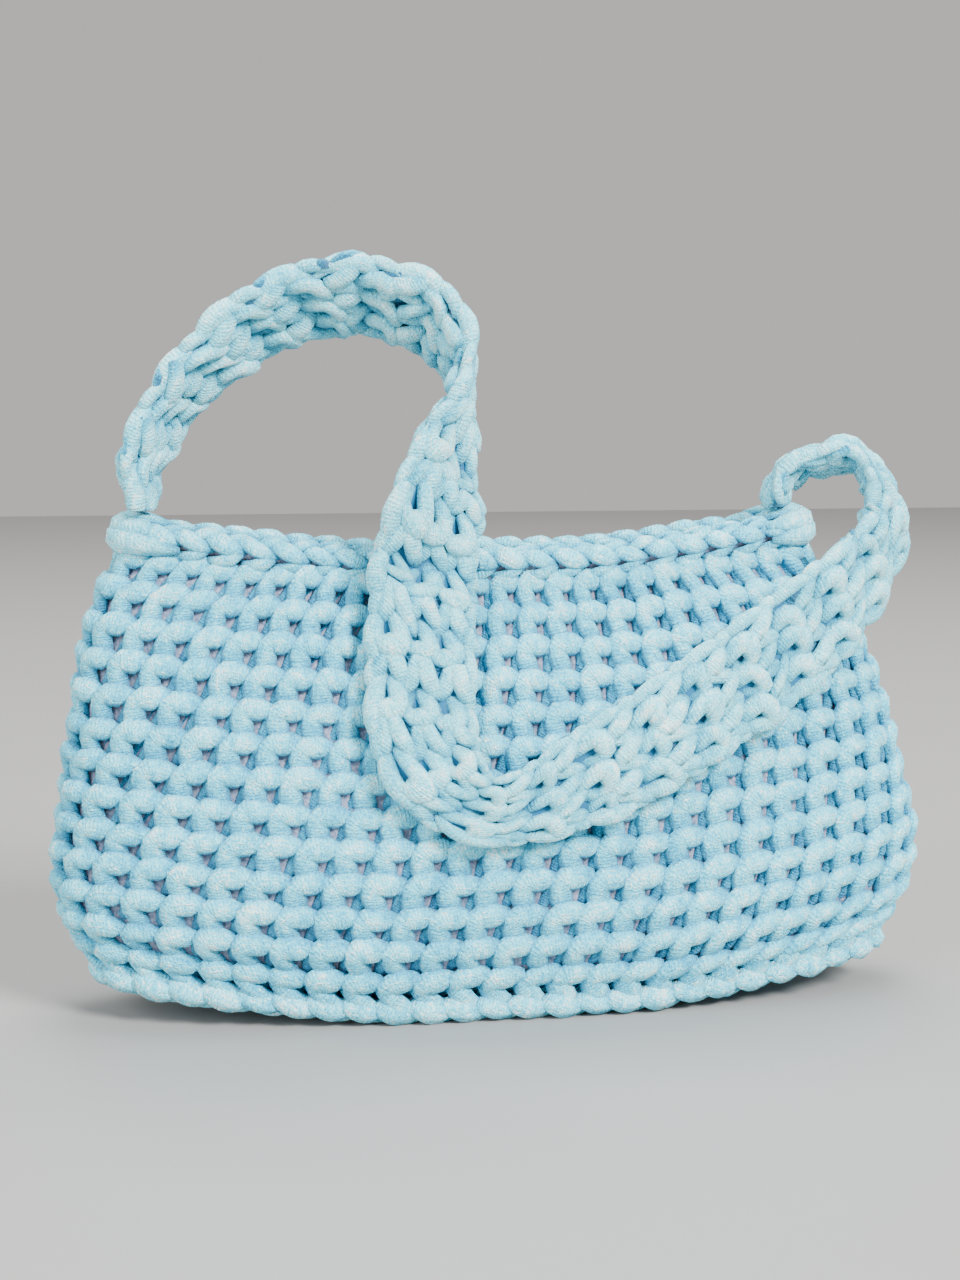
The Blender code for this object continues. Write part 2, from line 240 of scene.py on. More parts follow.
def strand(table, rings=12, sides=SIDES, pitch=PITCH, row=ROW):
    """A tube along a table of (u, v, n, wide, thick): u in pitches, v in rows, the rest in mm."""
    path = np.array(table, float) * np.array((pitch, row, 1, 1, 1))
    steps = np.concatenate(([0], np.cumsum(np.linalg.norm(np.diff(path[:, :3], axis=0), axis=1))))
    even = smooth_rows(np.column_stack((steps, path)), np.linspace(0, steps[-1], rings))
    points = [Vector(p[1:4]) for p in even]
    bm = bmesh.new()
    layers = [bm.verts.layers.float.new(key) for key in ("along", "turn_x", "turn_y")]
    ring = bmesh.ops.create_circle(bm, segments=sides, radius=1.0)["verts"]
    for vert in ring:
        vert[layers[1]], vert[layers[2]] = vert.co.x * 2.5, vert.co.y * 2.0
    edges = list(bm.edges)
    bmesh.ops.edgeloop_fill(bm, edges=edges)
    last = Matrix.Identity(4)
    for i, p in enumerate(even):
        ahead = points[min(i + 1, rings - 1)] - points[max(i - 1, 0)]
        matrix = ring_matrix(points[i], ahead, p[4], p[5])
        if i:
            made = bmesh.ops.extrude_edge_only(bm, edges=edges)["geom"]
            ring = [g for g in made if isinstance(g, bmesh.types.BMVert)]
            edges = [g for g in made if isinstance(g, bmesh.types.BMEdge)]
        bmesh.ops.transform(bm, matrix=matrix @ last.inverted(), verts=ring)
        for vert in ring:
            vert[layers[0]] = p[0]
        last = matrix
    bmesh.ops.edgeloop_fill(bm, edges=edges)
    bmesh.ops.recalc_face_normals(bm, faces=bm.faces)
    shape = np.array([v.co for v in bm.verts]) / np.array((pitch, row, 1))
    yarn = np.array([[v[layer] for layer in layers] for v in bm.verts])
    mesh = bpy.data.meshes.new("strand")
    bm.to_mesh(mesh)
    bm.free()
    return mesh, shape, yarn


# %% [markdown]
# Single crochet worked in rounds shows this side: each stitch is a fat crook. Its long leg
# rises from the lower left, the bar crosses to the right over a small hole, and a short leg
# drops behind. The next crook's long leg starts right beside it, so the legs make columns.
# On the inside the same stitches show as V's.

# %% The crook and its mates
CROOK = strand((
    (0.56, -0.72, -2.0, 4.6, 2.6),
    (0.46, -0.48, -0.2, 7.0, 3.6),
    (0.36, -0.18, 1.3, 8.2, 4.6),
    (0.32, 0.10, 2.2, 8.2, 5.2),
    (0.33, 0.32, 2.7, 8.0, 5.6),
    (0.50, 0.44, 2.9, 8.2, 5.8),
    (0.80, 0.46, 2.5, 8.4, 5.6),
    (1.08, 0.42, 1.2, 7.4, 4.8),
    (1.14, 0.16, 0.3, 5.6, 3.8),
    (1.03, -0.12, -0.3, 5.0, 3.4),
    (0.90, -0.38, -1.0, 4.4, 3.0),
    (0.80, -0.60, -2.2, 3.6, 2.6),
), rings=15)
FIRST_LOBE = strand((
    (0.04, 0.30, 0.2, 6.0, 3.6),
    (0.24, 0.10, 2.4, 8.6, 5.0),
    (0.44, -0.18, 4.0, 9.4, 5.6),
    (0.68, -0.46, 4.6, 8.8, 5.4),
    (0.94, -0.66, 3.0, 6.0, 4.2),
), rings=10)
INNER_VEE = strand((
    (0.06, 0.46, -0.4, 4.4, 3.0),
    (0.18, 0.22, -2.2, 5.6, 3.8),
    (0.42, -0.30, -2.6, 5.6, 3.8),
    (0.50, -0.46, -2.2, 5.6, 3.6),
    (0.58, -0.30, -2.6, 5.6, 3.8),
    (0.82, 0.22, -2.2, 5.6, 3.8),
    (0.94, 0.46, -0.4, 4.4, 3.0),
), rings=9, sides=6)
print("crook: %d faces, inner vee: %d" % (len(CROOK[0].polygons), len(INNER_VEE[0].polygons)))


def copies(shape, place_u, place_v, jitter=0.03):
    """Places of many copies of a strand, each a little out of true."""
    count = len(place_u)
    wobble = rng.normal(0, jitter, (count, 1, 3))
    swell = rng.normal(1, jitter * 1.4, (count, 1))
    lean = rng.normal(0, jitter * 1.5, (count, 1))
    u = shape[None, :, 0] + wobble[..., 0] + lean * shape[None, :, 1] + place_u[:, None]
    v = (shape[None, :, 1] * swell + wobble[..., 1] + lean * (shape[None, :, 0] - 0.5)
         + place_v[:, None])
    n = shape[None, :, 2] * swell + wobble[..., 2] * 6
    return u, v, n


def joined(name, parts):
    """One object of many placed copies; each part is (master, its places, its rise). The rise
    sets the painted shade and highlight.
    """
    bm = bmesh.new()
    places, yarns, rises, tints = [], [], [], []
    for (master, _, yarn), place, rise in parts:
        count, size = place.shape[:2]
        for _ in range(count):
            bm.from_mesh(master)
        places.append(place.reshape(-1, 3))
        start = np.zeros((count, 1, 3))
        start[:, 0] = rng.uniform(0, 60, (count, 3))
        yarns.append((yarn[None] + start).reshape(-1, 3))
        rises.append(np.clip(rise, 0, 1).reshape(-1))
        tints.append(np.repeat(rng.uniform(0, 1, count), size))
    mesh = bpy.data.meshes.new(name)
    bm.to_mesh(mesh)
    bm.free()
    for key in ("along", "turn_x", "turn_y"):
        mesh.attributes.remove(mesh.attributes[key])
    mesh.vertices.foreach_set("co", np.concatenate(places).astype(np.float32).ravel())
    mesh.attributes.new("yarn", "FLOAT_VECTOR", "POINT").data.foreach_set(
        "vector", np.concatenate(yarns).astype(np.float32).ravel())
    for key, values in (("rise", rises), ("tint", tints)):
        mesh.attributes.new(key, "FLOAT", "POINT").data.foreach_set(
            "value", np.concatenate(values).astype(np.float32))
    mesh.update()
    mesh.shade_smooth()
    piece = bpy.data.objects.new(name, mesh)
    bpy.context.collection.objects.link(piece)
    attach(piece, "root")
    mesh.calc_loop_triangles()
    print("%s: %d triangles" % (name, len(mesh.loop_triangles)))
    return piece


# %% [markdown]
# The wall's rounds are laid one above the other. Each round starts a quarter of a stitch
# further on, because crochet in the round leans, and that slant shows in the photograph.

# %% The wall's rounds
SLANT = 0.27
HOLE_UP = 0.40
UNEVEN = 0.7
UNEVEN_AROUND = 31
UNEVEN_UP = 7


def wall_part(strand_parts, rounds, low, high, jitter=0.024):
    """Copies of a strand in each of the rounds; rise runs from low to high, in mm."""
    row, column = np.meshgrid(rounds, np.arange(AROUND), indexing="ij")
    row, column = row.ravel().astype(float), column.ravel().astype(float)
    u, v, n = copies(strand_parts[1], column + row * SLANT, row + HOLE_UP, jitter)
    around = u / AROUND
    share = v / ROUNDS
    over = (np.clip(share, None, 0) + np.clip(share - 1, 0, None)) * ROUNDS * ROUND_HEIGHT
    swell = UNEVEN * np.sin(around * UNEVEN_AROUND) * np.sin(share * UNEVEN_UP + 1)
    place = WALL.place(around, share, (n + swell) * MM)
    place[..., 2] += over
    # The rise, from hollow to crest, sets the yarn's painted shade and highlight.
    return strand_parts, place, (n - low) / (high - low)


LOWER_ROUNDS = range(0, 6)
UPPER_ROUNDS = range(6, ROUNDS)
rounds_lower = joined("wall_rounds_lower", [wall_part(CROOK, LOWER_ROUNDS, -1.5, 5.4),
                                            wall_part(FIRST_LOBE, (0,), -1.0, 6.4)])
rounds_upper = joined("wall_rounds_upper", [wall_part(CROOK, UPPER_ROUNDS, -1.5, 5.4)])
rounds_inside = joined("wall_rounds_inside", [wall_part(INNER_VEE, range(0, ROUNDS), 0.5, -4.2)])
for piece in (rounds_lower, rounds_upper, rounds_inside):
    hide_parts("body_wall")

# %% [markdown]
# Behind the crooks lies more of the same yarn, packed too close to be seen as strands. One thin
# closed sheet in the middle of the wall stands for it: it stops light from shining through and
# gives the small holes their dark bottoms, coloured dark greyish lilac as painted shade. It is a
# bmesh grid, bent to the form and merged.

# %% Cores behind the stitches
def bent_grid(name, columns, rows, place, thick=0.0):
    """A grid whose corners are moved by place(u, v), merged where its edges meet."""
    bm = bmesh.new()
    bmesh.ops.create_grid(bm, x_segments=columns, y_segments=rows, size=0.5)
    flat = np.array([v.co for v in bm.verts])
    for vert, point in zip(bm.verts, place(flat[:, 0] + 0.5, flat[:, 1] + 0.5)):
        vert.co = point
    bmesh.ops.remove_doubles(bm, verts=bm.verts, dist=0.00002)
    bmesh.ops.recalc_face_normals(bm, faces=bm.faces)
    if thick:
        bmesh.ops.solidify(bm, geom=list(bm.faces), thickness=thick)
        bmesh.ops.recalc_face_normals(bm, faces=bm.faces)
    mesh = bpy.data.meshes.new(name)
    bm.to_mesh(mesh)
    bm.free()
    mesh.shade_smooth()
    piece = bpy.data.objects.new(name, mesh)
    bpy.context.collection.objects.link(piece)
    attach(piece, "root")
    print("%s: %d faces" % (name, len(mesh.polygons)))
    return piece


CORE_THICK = 1.6 * MM
WALL_CORE_OUT = -0.2 * MM
wall_core = bent_grid("wall_core", 208, 40,
                      lambda u, v: WALL.place(u, v, np.full_like(u, WALL_CORE_OUT)), CORE_THICK)
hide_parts("body_wall")

# %% [markdown]
# The base is worked first, round a short starting chain: three flat rounds of stitches that
# show as V's on both of its faces, the ends curled up off the table.

# %% The base
BASE_THICK = 0.0085
RIDGE_THICK = 0.0090
BASE_COUNTS = (46, 42, 38)
BASE_CORE_OUT = 0.8 * MM
BASE_RINGS = 31
BASE_STEPS = 320
SLIT = 0.0006
FLOOR_CLEAR = 0.0002


def ridge_sizes():
    """Half width, half depth and squareness of the ridge, and half width of the wall's foot."""
    inset = WALL_THICK / 2 - RIDGE_OUT
    return (WALL_SECTIONS[0, 1] * BAG_WIDTH - inset, WALL_SECTIONS[0, 2] * BAG_DEPTH - inset,
            WALL_SECTIONS[0, 4], WALL_SECTIONS[0, 1] * BAG_WIDTH)


def base_cloth():
    """The middle surface of the base, from the ridge in to the starting chain."""
    half_width, half_depth, square, foot = ridge_sizes()
    edge = RIDGE_THICK / 2 + GAP
    grid = []
    for inward in np.linspace(0, 1, BASE_RINGS):
        inset = edge + inward * (half_depth - edge - SLIT)
        ring = oval(half_width - inset, half_depth - inset, square, BASE_STEPS)
        z = BASE_THICK / 2 + END_LIFT * lift(ring[:, 0], foot)
        grid.append(np.stack((ring[:, 0], ring[:, 1], z), -1))
    return Cloth(np.array(grid), True)


def base_part(master, side, k, count):
    """One round of the base's stitches, on its upper (1) or lower (-1) face."""
    u, v, n = copies(master[1], np.arange(count) + 0.5 * (k % 2), np.full(count, k + 0.5))
    place = BASE.place(u / count, v / len(BASE_COUNTS), np.abs(n) * side * MM)
    place[..., 2] = np.maximum(place[..., 2], FLOOR_CLEAR)
    # The rise, from hollow to crest, sets the yarn's painted shade and highlight.
    return master, place, (np.abs(n) - 0.5) / 3.7


BASE = base_cloth()
base_vee = strand((
    (0.04, 0.46, 0.2, 4.4, 2.4),
    (0.18, 0.22, 2.1, 5.4, 3.4),
    (0.42, -0.30, 2.5, 5.4, 3.4),
    (0.50, -0.46, 2.1, 5.4, 3.2),
    (0.58, -0.30, 2.5, 5.4, 3.4),
    (0.82, 0.22, 2.1, 5.4, 3.4),
    (0.96, 0.46, 0.2, 4.4, 2.4),
), rings=9, sides=6, pitch=12.0, row=9.0)
base_stitches = joined("base_rounds", [base_part(base_vee, side, k, count) for side in (1, -1)
                                       for k, count in enumerate(BASE_COUNTS)])
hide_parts("base")
base_core = bent_grid("base_core", 160, 12,
                      lambda u, v: BASE.place(u, v, np.full_like(u, BASE_CORE_OUT)), CORE_THICK)
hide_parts("base")

# %% [markdown]
# The ridge and the mouth's rim are cords of stitches rather than cloth. A place on them is a
# share of the way round, an angle round the cord and a distance from its middle line.

# %% Places on the cords of the rim and ridge
CORD_STEPS = 400


class Cord:
    """A closed line with stitches round it, such as the rim or the base's ridge."""

    def __init__(self, path):
        self.path = path
        ahead = np.gradient(path, axis=0)
        ends = path[1] - path[-2]
        ahead[0] = ends
        ahead[-1] = ends
        out = np.stack((ahead[:, 1], -ahead[:, 0], np.zeros(len(path))), -1)
        self.out = out / np.linalg.norm(out, axis=-1, keepdims=True)
        self.length = np.linalg.norm(np.diff(path, axis=0), axis=1).sum()

    def place(self, around, angle, radius):
        """Angle in degrees from straight up towards the outside, radius in mm."""
        x = np.mod(around, 1) * (len(self.path) - 1)
        i = x.astype(int)
        f = (x - i)[..., None]
        middle = self.path[i] * (1 - f) + self.path[i + 1] * f
        out = self.out[i] * (1 - f) + self.out[i + 1] * f
        turn = np.radians(angle)
        radius = np.asarray(radius) * MM
        place = middle + out * (np.sin(turn) * radius)[..., None]
        place[..., 2] += np.cos(turn) * radius
        return place


def rim_cord():
    _, half_width, half_depth, shift, square, ends = WALL_SECTIONS[-1]
    half_width *= BAG_WIDTH
    inset = WALL_THICK / 2
    ring = oval(half_width - inset, half_depth * BAG_DEPTH - inset, square, CORD_STEPS)
    z = RIM_MIDDLE + ends * END_LIFT * lift(ring[:, 0], half_width)
    return Cord(np.stack((ring[:, 0] + shift * BAG_WIDTH, ring[:, 1], z), -1))


def ridge_cord():
    half_width, half_depth, square, foot = ridge_sizes()
    ring = oval(half_width, half_depth, square, CORD_STEPS)
    z = RIDGE_HEIGHT / 2 + END_LIFT * lift(ring[:, 0], foot)
    return Cord(np.stack((ring[:, 0], ring[:, 1], z), -1))


RIM = rim_cord()
RIDGE = ridge_cord()
print("rim %.0f mm, ridge %.0f mm round" % (RIM.length * 1000, RIDGE.length * 1000))

# %% [markdown]
# The rim is finished with slip stitches, which look like a plait of leaves: each loop's wide
# arm lies over the next one's root. Three such plaits lie side by side round the rim's core,
# one facing out, one along the top and one inside.

# %% The rim
RIM_PITCH = 10.4
RIM_STITCHES = round(RIM.length / (RIM_PITCH * MM))
RIM_REACH = 50
RIM_CORE = 3.4
CORD_JITTER = 0.025
CORD_RADIUS = 5
ARC = math.pi / 180 * CORD_RADIUS


def cord_part(cord, master, count, middle, reach, low, high, shift=0.0):
    """Copies of a strand round a cord: u along, v an angle over reach, n from the core."""
    u, v, n = copies(master[1], np.arange(count) + shift, np.zeros(count), CORD_JITTER)
    place = cord.place(u / count, middle + v * reach, n)
    # The rise, from hollow to crest, sets the yarn's painted shade and highlight.
    return master, place, (n - low) / (high - low)


rim_upper_arm = strand((
    (-0.18, -0.98, 3.4, 2.4, 2.0),
    (0.06, -0.88, 4.7, 5.0, 3.2),
    (0.38, -0.62, 5.4, 6.2, 3.8),
    (0.70, -0.34, 5.0, 5.4, 3.4),
    (0.96, -0.10, 3.9, 3.6, 2.6),
    (1.16, 0.06, 2.2, 1.6, 1.8),
), rings=10, pitch=RIM_PITCH, row=RIM_REACH * ARC)
rim_lower_arm = strand((
    (-0.04, 0.92, 4.0, 2.2, 2.0),
    (0.22, 0.80, 5.0, 3.8, 2.8),
    (0.52, 0.58, 5.3, 4.2, 3.0),
    (0.80, 0.32, 4.6, 3.4, 2.6),
    (1.02, 0.12, 3.0, 2.0, 1.8),
), rings=9, pitch=RIM_PITCH, row=RIM_REACH * ARC)
rim_stitches = joined("rim_plait", [
    cord_part(RIM, arm, RIM_STITCHES, middle, RIM_REACH, 2.6, 6.8, shift)
    for middle, shift in ((98, 0.0), (0, 0.45), (-98, 0.2))
    for arm in (rim_upper_arm, rim_lower_arm)])
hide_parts("rim_chain")
rim_core = bent_grid("rim_core", 208, 12,
                     lambda u, v: RIM.place(u, v * 360, np.full_like(u, RIM_CORE)))
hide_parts("rim_chain")

# %% [markdown]
# Where the first round turns up from the base, its legs show as fat leaves that overlap to the
# right, round the whole foot of the bag.

# %% The base ridge
RIDGE_STITCHES = 52
RIDGE_PITCH = 12.2
RIDGE_REACH = 60
RIDGE_CORE = 3.0
ridge_leaf = strand((
    (-0.16, -0.62, 3.0, 6.4, 4.0),
    (0.06, -0.36, 4.0, 8.6, 5.0),
    (0.42, 0.00, 4.3, 9.0, 5.2),
    (0.80, 0.24, 3.5, 8.0, 4.8),
    (1.14, 0.40, 1.8, 5.6, 3.6),
), rings=10, pitch=RIDGE_PITCH, row=RIDGE_REACH * ARC)
ridge_under = strand((
    (-0.15, -0.50, 2.4, 4.6, 2.8),
    (0.25, -0.20, 3.2, 6.4, 3.2),
    (0.60, 0.10, 3.2, 6.4, 3.2),
    (1.00, 0.40, 2.2, 4.6, 2.6),
), rings=8, sides=7, pitch=RIDGE_PITCH, row=RIDGE_REACH * ARC)
ridge_stitches = joined("ridge_leaves", [
    cord_part(RIDGE, ridge_leaf, RIDGE_STITCHES, 92, RIDGE_REACH, 1.0, 6.0),
    cord_part(RIDGE, ridge_under, RIDGE_STITCHES, 155, RIDGE_REACH, 1.0, 4.6, 0.3),
    cord_part(RIDGE, ridge_under, RIDGE_STITCHES, -90, RIDGE_REACH, 1.0, 4.6, 0.6),
])
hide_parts("base_ridge")
ridge_core = bent_grid("ridge_core", 208, 12,
                       lambda u, v: RIDGE.place(u, v * 360, np.full_like(u, RIDGE_CORE)))
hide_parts("base_ridge")

# %% [markdown]
# The strap is a long narrow cloth of its own, about three stitches wide. Its middle line runs
# from the left end of the rim, over an arch and down the front of the bag, and up again to the
# right end. The stations and their rolls are those of the solid, pushed off the wall alike.

# %% The strap's middle line
STRAP_WIDTH = 0.034
STRAP_THICK = 0.0082
EDGE_THICK = 0.0068
LOOP_PITCH = 0.020
LOOP_STEPS = 4
ARCH_RISE = 0.0855
STRAP_DROP = 0.083
FOOT_WRAP = 0.0026
FOOT_NARROW = 0.82
FOOT_STAND = 0.008
FOOT_ROLLS = (-14, 195)
FOOT_STEPS = 2
RIM_THICK = 0.0100
STITCHES_ROUND = 50
STRAP_CLEARANCE = 0.0006
SETTLE_ROUNDS = 12
FINE = 600
SEARCH_ROUNDS = 18

STRAP_STATIONS = (
    # across, up, fore, on_wall, roll, width
    (-0.397, 0.305, 0.00, 0.0, -20, 1.00),
    (-0.347, 0.615, 0.02, 0.0, -30, 0.98),
    (-0.253, 0.890, 0.05, 0.0, -40, 0.98),
    (-0.160, 0.965, 0.07, 0.0, -43, 0.98),
    (-0.076, 0.870, 0.11, 0.0, -32, 0.96),
    (-0.048, 0.630, 0.20, 0.0, 5, 0.96),
    (-0.076, 0.280, 0.33, 0.3, 55, 1.00),
    (-0.093, 0.030, 0.42, 1.0, 78, 1.00),
    (-0.104, -0.400, 0.50, 1.0, 90, 1.00),
    (-0.098, -0.800, 0.56, 1.0, 90, 0.94),
    (-0.034, -1.000, 0.58, 1.0, 90, 0.62),
    (0.084, -0.860, 0.58, 1.0, 90, 0.92),
    (0.199, -0.635, 0.52, 1.0, 90, 1.00),
    (0.324, -0.352, 0.36, 1.0, 98, 1.00),
    (0.440, -0.010, 0.14, 0.0, 132, 1.00),
    (0.447, 0.235, 0.04, 0.0, 155, 0.98),
    (0.400, 0.345, 0.02, 0.0, 190, 0.96),
    (0.346, 0.280, 0.00, 0.0, 200, 0.94),
)


def front_y(x, z):
    """The front surface's Y at a place of the wall or rim, seen from the front."""
    low, high = 0.0, 1.0
    for _ in range(SEARCH_ROUNDS):
        up = (low + high) / 2
        _, half_width, _, shift, _, ends = smooth_rows(WALL_SECTIONS, up)
        across = min(abs(x - shift * BAG_WIDTH), half_width * BAG_WIDTH)
        at = RIDGE_TOP + up * WALL_HEIGHT + ends * END_LIFT * lift(across, half_width * BAG_WIDTH)
        if at < z:
            low = up
        else:
            high = up
    _, half_width, half_depth, shift, square, _ = smooth_rows(WALL_SECTIONS, up)
    out = min(abs(x - shift * BAG_WIDTH) / (half_width * BAG_WIDTH), 1.0)
    depth = (1 - out ** square) ** (1 / square) * half_depth * BAG_DEPTH
    return -depth - (RIM_THICK - WALL_THICK) / 2


def rim_seat(side):
    """The place over the rim's left (-1) or right (1) end where the strap's foot stands."""
    steps = 2 * STITCHES_ROUND
    path = np.array([RIM.path[round(i * CORD_STEPS / steps) % CORD_STEPS]
                     for i in range(steps)])
    end = 0 if side > 0 else STITCHES_ROUND
    seat = (path[end - FOOT_STEPS] + path[end + FOOT_STEPS]) / 2
    seat[2] = path[end, 2]
    return seat


def strap_table():
    """The stations in metres, feet included, each with its distance along the line."""
    seat = RIM_HEIGHT / 2 + FOOT_WRAP + 2 * GAP
    left, right = rim_seat(-1), rim_seat(1)
    rows = [(left[0], left[2] + seat + up, left[1], 0.0, FOOT_ROLLS[0], FOOT_NARROW)
            for up in (0, FOOT_STAND)]
    for across, up, fore, on_wall, roll, width in STRAP_STATIONS:
        z = RIM_TOP + up * (ARCH_RISE if up > 0 else STRAP_DROP)
        rows.append((across * BAG_WIDTH, z, -fore * BAG_DEPTH, on_wall, roll, width))
    rows += [(right[0], right[2] + seat + up, right[1], 0.0, FOOT_ROLLS[1], FOOT_NARROW)
             for up in (FOOT_STAND, 0)]
    rows = np.array(rows)
    marks = np.concatenate(([0], np.cumsum(np.hypot(*np.diff(rows[:, :2], axis=0).T))))
    return np.column_stack((marks, rows))


def strap_frames():
    """Middle point, width direction, face direction and width share at even steps."""
    table = strap_table()
    fine = smooth_rows(table, np.linspace(0, table[-1, 0], FINE + 1))
    length = np.concatenate(
        ([0], np.cumsum(np.linalg.norm(np.diff(fine[:, 1:4], axis=0), axis=1))))
    steps = round(length[-1] / LOOP_PITCH) * LOOP_STEPS
    goals = np.linspace(0, length[-1], steps + 1)
    line = fine[np.minimum(np.searchsorted(length, goals), FINE)]
    points = line[:, (1, 3, 2)].copy()
    stand = STRAP_THICK / 2 + STRAP_CLEARANCE
    for point, row in zip(points, line):
        point[1] += row[4] * (front_y(point[0], min(point[2], RIM_TOP)) - stand - point[1])

    def turned(i):
        ahead = points[min(i + 1, steps)] - points[max(i - 1, 0)]
        ahead = ahead / np.linalg.norm(ahead)
        front = np.array((0.0, -1.0, 0.0))
        across = front - ahead * front.dot(ahead)
        across /= np.linalg.norm(across)
        face = np.cross(across, ahead)
        angle = math.radians(line[i, 5])
        across = across * math.cos(angle) - face * math.sin(angle)
        return across, np.cross(across, ahead)

    for _ in range(SETTLE_ROUNDS):
        for i in range(1, steps):
            if line[i, 4] <= 0:
                continue
            across, face = turned(i)
            need = 0.0
            for share in (-1, -0.6, 0, 0.6, 1):
                back = (points[i] + across * (STRAP_WIDTH / 2 * line[i, 6] * share)
                        - face * (STRAP_THICK / 2))
                if back[2] < RIM_TOP + END_LIFT:
                    need = max(need, back[1] + STRAP_CLEARANCE - front_y(back[0], back[2]))
            points[i, 1] -= need
        depths = points[:, 1].copy()
        points[1:-1, 1] = np.minimum(depths[1:-1], (depths[:-2] + depths[2:]) / 2)
    turns = [turned(i) for i in range(steps + 1)]
    return (points, np.array([t[0] for t in turns]), np.array([t[1] for t in turns]),
            line[:, 6], length[-1])


class Strap:
    """The strap's frames, read between their steps."""

    def __init__(self):
        self.points, self.across, self.face, self.width, self.length = strap_frames()

    def place(self, along, across, face):
        """Along is a share of the length, across a share of the half width, face in mm."""
        x = np.clip(along, 0, 1) * (len(self.points) - 1)
        i = np.minimum(x.astype(int), len(self.points) - 2)
        f = (x - i)[..., None]

        def between(values):
            return values[i] * (1 - f) + values[i + 1] * f

        wide = between(self.width[:, None])[..., 0] * STRAP_WIDTH / 2
        across_way, face_way = between(self.across), between(self.face)
        across_way /= np.linalg.norm(across_way, axis=-1, keepdims=True)
        face_way /= np.linalg.norm(face_way, axis=-1, keepdims=True)
        return (between(self.points) + across_way * (across * wide)[..., None]
                + face_way * (np.asarray(face) * MM)[..., None])


STRAP = Strap()
print("strap %.0f mm long" % (STRAP.length * 1000))

# %% [markdown]
# The strap was turned at the end of every row, so rows of crooks and rows of V's take turns on
# both of its faces, and each turn leaves a leaf-shaped loop on the edge.

# %% The strap's stitches
STRAP_ROWS = round(STRAP.length / (10.2 * MM))
STRAP_COLUMNS = 3
STRAP_PITCH = 9.4
STRAP_ROW = STRAP.length / STRAP_ROWS / MM
BAND_SHARE = 0.84
LEAF_SHARE = 0.80
STRAP_CORE_OUT = 0.8
STRAP_JITTER = 0.07
EDGE_JITTER = 0.04
STRAP_SKEW = 0.25


def strap_strand(table, rings, sides=SIDES):
    return strand(table, rings, sides, STRAP_PITCH, STRAP_ROW)


strap_crook = strap_strand((
    (0.62, -0.70, -0.8, 4.2, 2.8),
    (0.46, -0.44, 0.8, 6.0, 4.0),
    (0.30, -0.10, 2.0, 6.8, 4.8),
    (0.30, 0.20, 2.7, 7.0, 5.2),
    (0.58, 0.40, 3.0, 7.0, 5.2),
    (0.94, 0.42, 2.2, 6.4, 4.8),
    (1.12, 0.10, 0.8, 5.0, 3.8),
    (0.96, -0.26, -0.2, 4.4, 3.2),
    (0.82, -0.56, -1.2, 3.8, 2.6),
), 13)
strap_vee = strap_strand((
    (-0.16, 0.66, -0.4, 4.2, 2.8),
    (0.06, 0.36, 1.8, 6.0, 4.6),
    (0.32, -0.08, 2.9, 6.6, 5.0),
    (0.52, -0.44, 2.2, 6.8, 4.4),
    (0.70, -0.08, 1.9, 6.0, 4.4),
    (0.90, 0.36, 1.2, 5.6, 4.2),
    (1.12, 0.66, -0.6, 4.2, 2.8),
), 12)
strap_leaf = strap_strand((
    (-0.12, -0.98, -0.8, 3.0, 3.0),
    (0.10, -0.62, 0.4, 5.6, 5.2),
    (0.20, -0.08, 1.0, 7.2, 6.8),
    (0.12, 0.46, 0.6, 6.4, 6.0),
    (-0.16, 0.86, -0.6, 3.6, 3.6),
), 11)
strap_slim_leaf = strap_strand((
    (-0.06, -1.06, -0.8, 2.4, 2.6),
    (0.10, -0.60, 0.2, 4.2, 4.8),
    (0.18, 0.00, 0.5, 5.0, 6.0),
    (0.12, 0.60, 0.2, 4.2, 4.8),
    (-0.10, 1.02, -0.8, 2.4, 2.6),
), 11)
strap_link = strap_strand((
    (-0.20, -0.62, 1.2, 3.2, 2.8),
    (0.10, -0.30, 0.8, 4.8, 4.2),
    (0.16, 0.10, -0.2, 5.0, 4.4),
    (-0.10, 0.50, -1.2, 3.4, 2.8),
), 8, sides=7)


def strap_part(master, side, first):
    """Every second row of a strand on one face (1 outer, -1 inner) of the strap."""
    row, column = np.meshgrid(np.arange(first, STRAP_ROWS, 2), np.arange(STRAP_COLUMNS),
                              indexing="ij")
    row, column = row.ravel().astype(float), column.ravel().astype(float)
    u, v, n = copies(master[1], column, row + 0.5, STRAP_JITTER)
    v = v - STRAP_SKEW * side * (u - STRAP_COLUMNS / 2)
    across = (u / STRAP_COLUMNS * 2 - 1) * BAND_SHARE
    place = STRAP.place(v / STRAP_ROWS, across * side, n * side)
    # The rise, from hollow to crest, sets the yarn's painted shade and highlight.
    return master, place, (n + 1.0) / 6.0


def edge_part(master, side, first, out):
    """Every second row of a loop on the front (1) or rear (-1) edge, painted paler on its outside
    as a highlight.
    """
    row = np.arange(first, STRAP_ROWS, 2).astype(float)
    u, v, n = copies(master[1], np.zeros(len(row)), row + 0.5, EDGE_JITTER)
    across = side * (out + u * STRAP_PITCH * MM / (STRAP_WIDTH / 2))
    # The rise grows outwards across the loop, so its outer side takes a painted highlight.
    return master, STRAP.place(v / STRAP_ROWS, across, n), 0.72 + 0.45 * u


